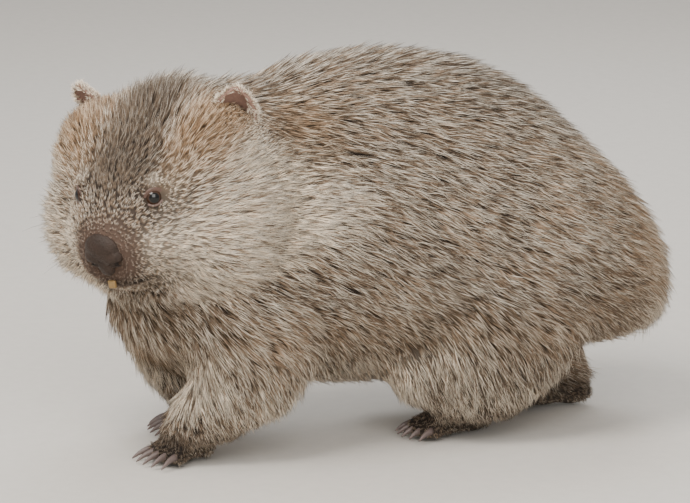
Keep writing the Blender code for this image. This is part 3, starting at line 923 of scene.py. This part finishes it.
class WOMBAT_OT_whiskers(bpy.types.Operator):
    """Stiff dark whiskers on the muzzle, cheeks and brows"""

    bl_idname = "wombat.whiskers"
    bl_label = "Whiskers"

    def execute(self, context):
        draw = random.Random(sizes().seed)
        bm = bmesh.new()
        layer = bm.verts.layers.float.new("along")
        skin = bpy.data.objects["skin"]
        tree = BVHTree.FromObject(skin, context.evaluated_depsgraph_get())
        # Middle of each group on the head, its spread, how many whiskers, and their length.
        spots = (
            ((0.034, -0.030, -0.058), 0.011, 11, 0.052),
            ((0.026, -0.020, -0.092), 0.012, 5, 0.034),
            ((0.042, 0.004, 0.020), 0.007, 4, 0.034),
            ((0.082, 0.040, -0.070), 0.010, 3, 0.044),
        )
        for centre, spread, count, length in spots:
            for mirror in (1, -1):
                for k in range(count):
                    near = Vector(centre) + Vector([draw.uniform(-spread, spread) for axis in range(3)])
                    near.x *= mirror
                    root, normal = tree.find_nearest(HEAD @ near)[:2]
                    sweep = lie(root, normal) + normal * draw.uniform(0.5, 1.1)
                    sweep += HEAD_TURN @ Vector((mirror * 0.5, 0.0, -0.1))
                    self.whisker(bm, layer, root - normal * 0.002, sweep.normalized(), length, draw)
        dress(piece_of(bm, "whiskers"), whisker_finish(), "coat")
        return {"FINISHED"}

    def whisker(self, bm, layer, root, forward, length, draw):
        """One tapered hair that droops towards its tip."""
        length *= draw.uniform(0.6, 1.1)
        droop = Vector((0, 0, -1)) * length * draw.uniform(0.10, 0.28)
        side = forward.cross(UP).normalized()
        over = forward.cross(side)
        rows = []
        for t in (0.0, 0.33, 0.66, 1.0):
            centre = root + forward * length * t + droop * t * t
            size = 0.00026 * (1 - 0.85 * t)
            row = []
            for k in range(3):
                angle = 2 * math.pi * k / 3
                vert = bm.verts.new(centre + (side * math.cos(angle) + over * math.sin(angle)) * size)
                vert[layer] = t
                row.append(vert)
            rows.append(row)
        join_rings(bm, rows)


def tuft_shapes():
    """Tufts of tapered strands that rise from the origin, bend over and run towards +X."""
    draw = random.Random(sizes().seed)
    group = bpy.data.collections.new("tuft")
    bpy.context.scene.collection.children.link(group)
    reach = sizes().hair_length
    strand_count = sizes().strands
    for number in range(TUFT_KINDS):
        corners, faces, along, strand, patch = [], [], [], [], []
        for k in range(strand_count):
            spin = 2 * math.pi * (k + draw.random()) / strand_count
            away = TUFT_RADIUS * math.sqrt((k + 0.5) / strand_count)
            root = Vector((away * math.cos(spin), away * math.sin(spin), TUFT_ROOT))
            fan = draw.uniform(-0.17, 0.17)
            length = reach * draw.uniform(0.72, 1.12)
            rise = draw.uniform(0.22, 0.46)
            twist = draw.uniform(0, 2 * math.pi)
            shade = draw.random()
            first = len(corners)
            for t, wide in ((0.0, 0.80), (0.45, 1.0), (1.0, 0.0)):
                lifted = length * (rise * t - 0.42 * rise * t * t)
                sideways = length * t * fan - 0.30 * root.y * t
                centre = root + Vector((length * t, sideways, lifted))
                half = sizes().hair_width * wide / 2
                for j in range(3 if wide else 1):
                    angle = twist + 2 * math.pi * j / 3
                    corners.append(centre + Vector((0, math.cos(angle), math.sin(angle))) * half)
                    along.append(t)
                    strand.append(shade)
                    patch.append(((k + 0.2 + 0.25 * j) / strand_count, 0.05 + 0.9 * t, 0.0))
            for j in range(3):
                i = (j + 1) % 3
                one, two, three, four = first + j, first + i, first + 3 + i, first + 3 + j
                faces += [(one, two, three), (one, three, four), (four, three, first + 6)]
        mesh = bpy.data.meshes.new(f"tuft_{number}")
        mesh.from_pydata(corners, [], faces)
        store(mesh, "along", "FLOAT", along)
        store(mesh, "strand", "FLOAT", strand)
        store(mesh, "patch", "FLOAT_VECTOR", patch)
        mesh.shade_smooth()
        group.objects.link(bpy.data.objects.new(mesh.name, mesh))
    return group


class Tree(Nodes):
    """A Geometry Nodes tree, with named inputs."""

    def __init__(self, name, *inputs):
        self.tree = bpy.data.node_groups.new(name, "GeometryNodeTree")
        ends = [("Geometry", "Geometry", "INPUT")]
        ends += [(label, kind, "INPUT") for label, kind in inputs]
        ends.append(("Geometry", "Geometry", "OUTPUT"))
        for label, kind, end in ends:
            self.tree.interface.new_socket(label, in_out=end, socket_type=f"NodeSocket{kind}")
        self.source = self.tree.nodes.new("NodeGroupInput")

    def given(self, label):
        return Level(self, self.source.outputs[label])

    def kept(self, name, kind):
        return self.node("GeometryNodeInputNamedAttribute", {"Name": name}, data_type=kind)

    def random(self, low, high, seed):
        values = {2: low, 3: high, "Seed": seed}
        return self.node("FunctionNodeRandomValue", values, 1, data_type="FLOAT")

    def vector(self, x=0.0, y=0.0, z=0.0):
        return self.node("ShaderNodeCombineXYZ", {"X": x, "Y": y, "Z": z})

    def identifier(self, label):
        for item in self.tree.interface.items_tree:
            if item.in_out == "INPUT" and item.name == label:
                return item.identifier
        raise KeyError(label)


def coat_tree():
    """Scatters tufts evenly over a skin, turns them to the lie and makes them one mesh."""
    inputs = (("Spacing", "Float"), ("Width", "Float"), ("Seed", "Int"), ("Hair", "Material"))
    tree = Tree("Coat", ("Tufts", "Collection"), *inputs)
    values = {"Mesh": tree.given("Geometry"), "Distance Min": tree.given("Spacing")}
    values.update({"Density Max": DENSEST, "Seed": tree.given("Seed")})
    points = tree.node("GeometryNodeDistributePointsOnFaces", values, distribute_method="POISSON")

    values = {"Primary Axis": Level(tree, points.socket.node.outputs["Normal"])}
    values["Secondary Axis"] = tree.kept("lie", "FLOAT_VECTOR")
    laid = tree.node("FunctionNodeAxesToRotation", values, primary_axis="Z", secondary_axis="X")
    pitch = tree.random(-0.20, 0.08, 3) - tree.kept("lift", "FLOAT")
    sway = tree.vector(y=pitch, z=tree.random(-0.24, 0.24, 4))
    turn = tree.node("FunctionNodeEulerToRotation", {"Euler": sway})
    values = {"Rotation": laid, "Rotate By": turn}
    turned = tree.node("FunctionNodeRotateRotation", values, rotation_space="LOCAL")

    length = tree.kept("length", "FLOAT") * tree.random(0.80, 1.18, 5)
    width = tree.given("Width")
    values = {0: 0.5, 4: tree.vector(length, width, width), 5: tree.vector(length, width, length)}
    scale = tree.node("ShaderNodeMix", values, 1, data_type="VECTOR")

    values = {"Geometry": points, "Name": "tone", "Value": tree.random(0.0, 1.0, 6)}
    settings = {"data_type": "FLOAT", "domain": "POINT"}
    toned = tree.node("GeometryNodeStoreNamedAttribute", values, **settings)
    values = {"Collection": tree.given("Tufts"), "Separate Children": True, "Reset Children": True}
    tufts = tree.node("GeometryNodeCollectionInfo", values)
    values = {"Points": toned, "Instance": tufts, "Pick Instance": True}
    values.update({"Rotation": turned, "Scale": scale})
    planted = tree.node("GeometryNodeInstanceOnPoints", values)
    grown = tree.node("GeometryNodeRealizeInstances", {"Geometry": planted})

    # Each tuft's patch of the map lies round the place of its root.
    values = {0: tree.kept("patch", "FLOAT_VECTOR"), 1: (0.5, 0.5, 0.0)}
    step = tree.node("ShaderNodeVectorMath", values, operation="SUBTRACT")
    step = tree.node("ShaderNodeVectorMath", {0: step, "Scale": PATCH_WIDTH}, operation="SCALE")
    values = {0: tree.kept("root_uv", "FLOAT_VECTOR"), 1: step}
    spot = tree.node("ShaderNodeVectorMath", values, operation="ADD")
    values = {"Geometry": grown, "Name": "OFBake", "Value": spot}
    settings = {"data_type": "FLOAT2", "domain": "CORNER"}
    mapped = tree.node("GeometryNodeStoreNamedAttribute", values, **settings)
    coated = tree.node("GeometryNodeSetMaterial", {"Geometry": mapped, "Material": tree.given("Hair")})
    tree.node("NodeGroupOutput", {"Geometry": coated})
    return tree


def ear_part(point):
    """How far a point lies from its ear's middle, seen from the front, and the ear's two axes."""
    mirror = 1 if (INTO_HEAD @ point).x > 0 else -1
    up = (HEAD_TURN @ mirrored(EAR_UP, mirror)).normalized()
    facing = (HEAD_TURN @ mirrored(EAR_FACING, mirror)).normalized()
    off = point - (HEAD @ mirrored(EAR_BASE, mirror) + up * EAR_MIDDLE)
    return off - facing * off.dot(facing), up, facing


def ear_lie(point, normal):
    """Hair on an ear runs up it and out past its rim."""
    off, up, facing = ear_part(point)
    return along_skin(up * 0.5 + off.normalized(), normal)


def ear_region(centre, normal):
    """The ears' coat covers their backs and rims, and leaves the hollows bare."""
    off, up, facing = ear_part(centre)
    inside = normal.dot(facing) > 0.25
    return None if inside and off.length < 0.0125 else "ears"


def region_of(centre, normal):
    """The piece of coat that a face of the skin belongs to, or none where it stays bare."""
    head, leg = body_shares(centre)
    tip = centre + lie(centre, normal) * hair_length(centre) * sizes().hair_length
    if nearest(centre, EYES) < 0.0124 or nearest(tip, EYES) < 0.0118:
        return None
    if nearest(centre, MOUTH) < 0.0022:
        return None
    if (centre - NOSE).length < 0.019 or (centre.z < 0.009 and normal.z < -0.3):
        return None
    side = "left" if centre.x > -0.005 else "right"
    if head > 0.5:
        if (centre - NOSE).length < 0.105:
            return "face"
        return "head_" + ("left" if (INTO_HEAD @ centre).x > 0 else "right")
    if centre.z < 0.040:
        return "feet"
    if leg > 0.5:
        return "forelegs" if centre.y < -0.03 else "hindlegs"
    if centre.y < -0.110:
        return f"shoulder_{side}"
    if centre.y < 0.040:
        return f"flank_{side}"
    return f"haunch_{side}" if centre.y < 0.190 else f"rump_{side}"


def thinned(obj, triangles):
    """The object with about as many triangles as asked for."""
    obj.data.calc_loop_triangles()
    thin = obj.modifiers.new("Thin", "DECIMATE")
    thin.ratio = triangles / len(obj.data.loop_triangles)
    return applied(obj)


def add_ears(ground):
    """Adds a coarse copy of each ear to the ground, and marks its points."""
    bm = bmesh.new()
    bm.from_mesh(ground.data)
    on_ear = bm.verts.layers.float.new("on_ear")
    for side, mirror in SIDES:
        cup = piece_named("cup", bpy.data.objects[f"ear_{side}_cup"].data.copy())
        before = len(bm.verts)
        bm.from_mesh(thinned(cup, EAR_TRIANGLES).data)
        bm.verts.ensure_lookup_table()
        for vert in bm.verts[before:]:
            vert[on_ear] = 1.0
        dropped(cup)
    bm.to_mesh(ground.data)
    bm.free()


def unwrap(ground):
    """Keeps each corner's place on an unwrap of the ground as the attribute root_uv."""
    bpy.context.view_layer.objects.active = ground
    ground.select_set(True)
    bpy.ops.object.mode_set(mode="EDIT")
    bpy.ops.mesh.select_all(action="SELECT")
    bpy.ops.uv.smart_project(angle_limit=math.radians(60), island_margin=0.004)
    bpy.ops.object.mode_set(mode="OBJECT")
    mesh = ground.data
    spots = np.zeros(len(mesh.loops) * 2, np.float32)
    mesh.uv_layers.active.data.foreach_get("uv", spots)
    flat = np.column_stack([spots.reshape(-1, 2), np.zeros(len(mesh.loops))])
    store(mesh, "root_uv", "FLOAT_VECTOR", flat, "CORNER")
    mesh.uv_layers.remove(mesh.uv_layers.active)


def coat_ground():
    """A coarser copy of the skin that the tufts are planted on, and the region of each of its faces."""
    ground = piece_named("ground", bpy.data.objects["skin"].data.copy())
    for name in MARKS:
        ground.data.attributes.remove(ground.data.attributes[name])
    thinned(ground, GROUND_TRIANGLES)
    add_ears(ground)
    unwrap(ground)
    mesh = ground.data
    ears = [item.value > 0.5 for item in mesh.attributes["on_ear"].data]
    rows = [(vert.co.copy(), vert.normal.copy(), ear) for vert, ear in zip(mesh.vertices, ears)]
    runs = [(ear_lie if ear else lie)(spot, normal) for spot, normal, ear in rows]
    store(mesh, "lie", "FLOAT_VECTOR", runs)
    lengths = [EAR_HAIR_LENGTH if ear else hair_length(spot) for spot, normal, ear in rows]
    store(mesh, "length", "FLOAT", lengths)
    lifts = [EAR_HAIR_LIFT if ear else lift_of(spot) for spot, normal, ear in rows]
    store(mesh, "lift", "FLOAT", lifts)
    store_marks_and_shade(mesh, [EAR_MARKS if ear else marks_and_shade_of(spot, normal) for spot, normal, ear in rows])
    regions = []
    for face in mesh.polygons:
        finder = ear_region if ears[face.vertices[0]] else region_of
        regions.append(finder(face.center.copy(), face.normal.copy()))
    return ground, regions


def part_of_ground(ground, regions, name):
    """The faces of the ground that belong to one piece of the coat."""
    bm = bmesh.new()
    bm.from_mesh(ground.data)
    spare = [face for face, region in zip(bm.faces, regions) if region != name]
    bmesh.ops.delete(bm, geom=spare, context="FACES")
    mesh = bpy.data.meshes.new(name)
    bm.to_mesh(mesh)
    bm.free()
    return piece_named(f"coat_{name}", mesh)


def grow(piece, tree, inputs):
    """Puts a tree's result in place of the piece's mesh."""
    change = piece.modifiers.new("Coat", "NODES")
    change.node_group = tree.tree
    for label, value in inputs.items():
        change[tree.identifier(label)] = value
    applied(piece)
    places = np.zeros(len(piece.data.vertices) * 3, np.float32)
    piece.data.vertices.foreach_get("co", places)
    places[2::3] = np.maximum(places[2::3], LOWEST_HAIR)
    piece.data.vertices.foreach_set("co", places)
    for spare in ("root_uv", "patch", "lie", "length", "lift", "on_ear", "hollow"):
        if spare in piece.data.attributes:
            piece.data.attributes.remove(piece.data.attributes[spare])


class WOMBAT_OT_coat(bpy.types.Operator):
    """Tufts of solid hairs over the whole skin, one piece for each region"""

    bl_idname = "wombat.coat"
    bl_label = "Coat"

    def execute(self, context):
        hair = coat_finish()
        tree = coat_tree()
        tufts = tuft_shapes()
        ground, regions = coat_ground()
        for number, (name, (spacing, width)) in enumerate(REGIONS.items()):
            piece = part_of_ground(ground, regions, name)
            inputs = {"Tufts": tufts, "Spacing": spacing, "Width": width}
            inputs.update({"Seed": sizes().seed + number, "Hair": hair})
            grow(piece, tree, inputs)
            dress(piece, hair, "coat")
        dropped(ground)
        for tuft in list(tufts.objects):
            dropped(tuft)
        bpy.data.collections.remove(tufts)
        return {"FINISHED"}


class WOMBAT_OT_stage(bpy.types.Operator):
    """A plain pale floor, soft light and the camera at the photograph's angle"""

    bl_idname = "wombat.stage"
    bl_label = "Floor, light and camera"

    def execute(self, context):
        scene = context.scene
        bm = bmesh.new()
        bmesh.ops.create_grid(bm, x_segments=1, y_segments=1, size=7)
        floor = piece_of(bm, "floor")
        floor.data.materials.append(floor_finish())
        world = bpy.data.worlds.new("studio")
        world.use_nodes = True
        sky = world.node_tree.nodes["Background"].inputs
        sky["Color"].default_value = (1.0, 0.98, 0.95, 1)
        sky["Strength"].default_value = 0.75
        scene.world = world
        # Name, place, width, power and tint of each light.
        lights = (
            ("key", (0.9, -1.6, 2.6), 1.4, 88.0, (1.0, 0.96, 0.90)),
            ("back", (-1.6, 1.0, 2.2), 1.6, 36.0, (0.95, 0.98, 1.0)),
            ("fill", (2.4, -0.6, 1.5), 1.8, 62.0, (1.0, 0.97, 0.92)),
        )
        middle = Vector((0, 0, 0.2))
        for name, place, size, power, tint in lights:
            lamp = bpy.data.lights.new(name, "AREA")
            lamp.size = size
            lamp.energy = power
            lamp.color = tint
            holder = bpy.data.objects.new(name, lamp)
            scene.collection.objects.link(holder)
            holder.location = place
            towards = middle - Vector(place)
            holder.rotation_euler = towards.to_track_quat("-Z", "Y").to_euler()
        self.camera(scene)
        return {"FINISHED"}

    def camera(self, scene):
        """Looks at the wombat's left side from ahead, from a little above it."""
        width, height, scale, distance = 690, 503, 930.0, 5.0
        azimuth, elevation = math.radians(70), math.radians(12)
        sole, its_pixel = Vector((0.0483, -0.2293, 0.0)), (178, 462)
        back = Vector((math.sin(azimuth), -math.cos(azimuth), 0)) * math.cos(elevation)
        back.z = math.sin(elevation)
        right = Vector((math.cos(azimuth), math.sin(azimuth), 0))
        up = back.cross(right)
        aim = sole + right * (width / 2 - its_pixel[0]) / scale
        aim += up * (its_pixel[1] - height / 2) / scale
        lens = bpy.data.cameras.new("camera")
        lens.sensor_width = 36
        lens.lens = 36 * scale * distance / width
        lens.clip_end = 60
        camera = bpy.data.objects.new("camera", lens)
        scene.collection.objects.link(camera)
        camera.location = aim + back * distance
        camera.rotation_euler = (-back).to_track_quat("-Z", "Y").to_euler()
        scene.camera = camera


class WOMBAT_PT_panel(bpy.types.Panel):
    """Lists the wombat's sizes, colours and pieces"""

    bl_idname = "WOMBAT_PT_panel"
    bl_label = "Wombat"
    bl_space_type = "VIEW_3D"
    bl_region_type = "UI"
    bl_category = "Wombat"

    def draw(self, context):
        for group in (context.scene.wombat_sizes, context.scene.wombat_colours):
            for key in group.bl_rna.properties.keys():
                if key not in ("rna_type", "name"):
                    self.layout.prop(group, key)
        for operator in OPERATORS:
            self.layout.operator(operator.bl_idname)


OPERATORS = (
    WOMBAT_OT_skin,
    WOMBAT_OT_eyes,
    WOMBAT_OT_nose,
    WOMBAT_OT_ears,
    WOMBAT_OT_teeth,
    WOMBAT_OT_claws,
    WOMBAT_OT_whiskers,
    WOMBAT_OT_coat,
    WOMBAT_OT_stage,
)
CLASSES = (WombatSizes, WombatColours, *OPERATORS, WOMBAT_PT_panel)


def register():
    for each in CLASSES:
        bpy.utils.register_class(each)
    bpy.types.Scene.wombat_sizes = PointerProperty(type=WombatSizes)
    bpy.types.Scene.wombat_colours = PointerProperty(type=WombatColours)


def unregister():
    del bpy.types.Scene.wombat_colours
    del bpy.types.Scene.wombat_sizes
    for each in reversed(CLASSES):
        bpy.utils.unregister_class(each)


def corners(box):
    return [[float(number) for number in corner] for corner in box]


def main():
    register()
    for operator in OPERATORS:
        group, name = operator.bl_idname.split(".")
        getattr(getattr(bpy.ops, group), name)()


if __name__ == "__main__":
    main()
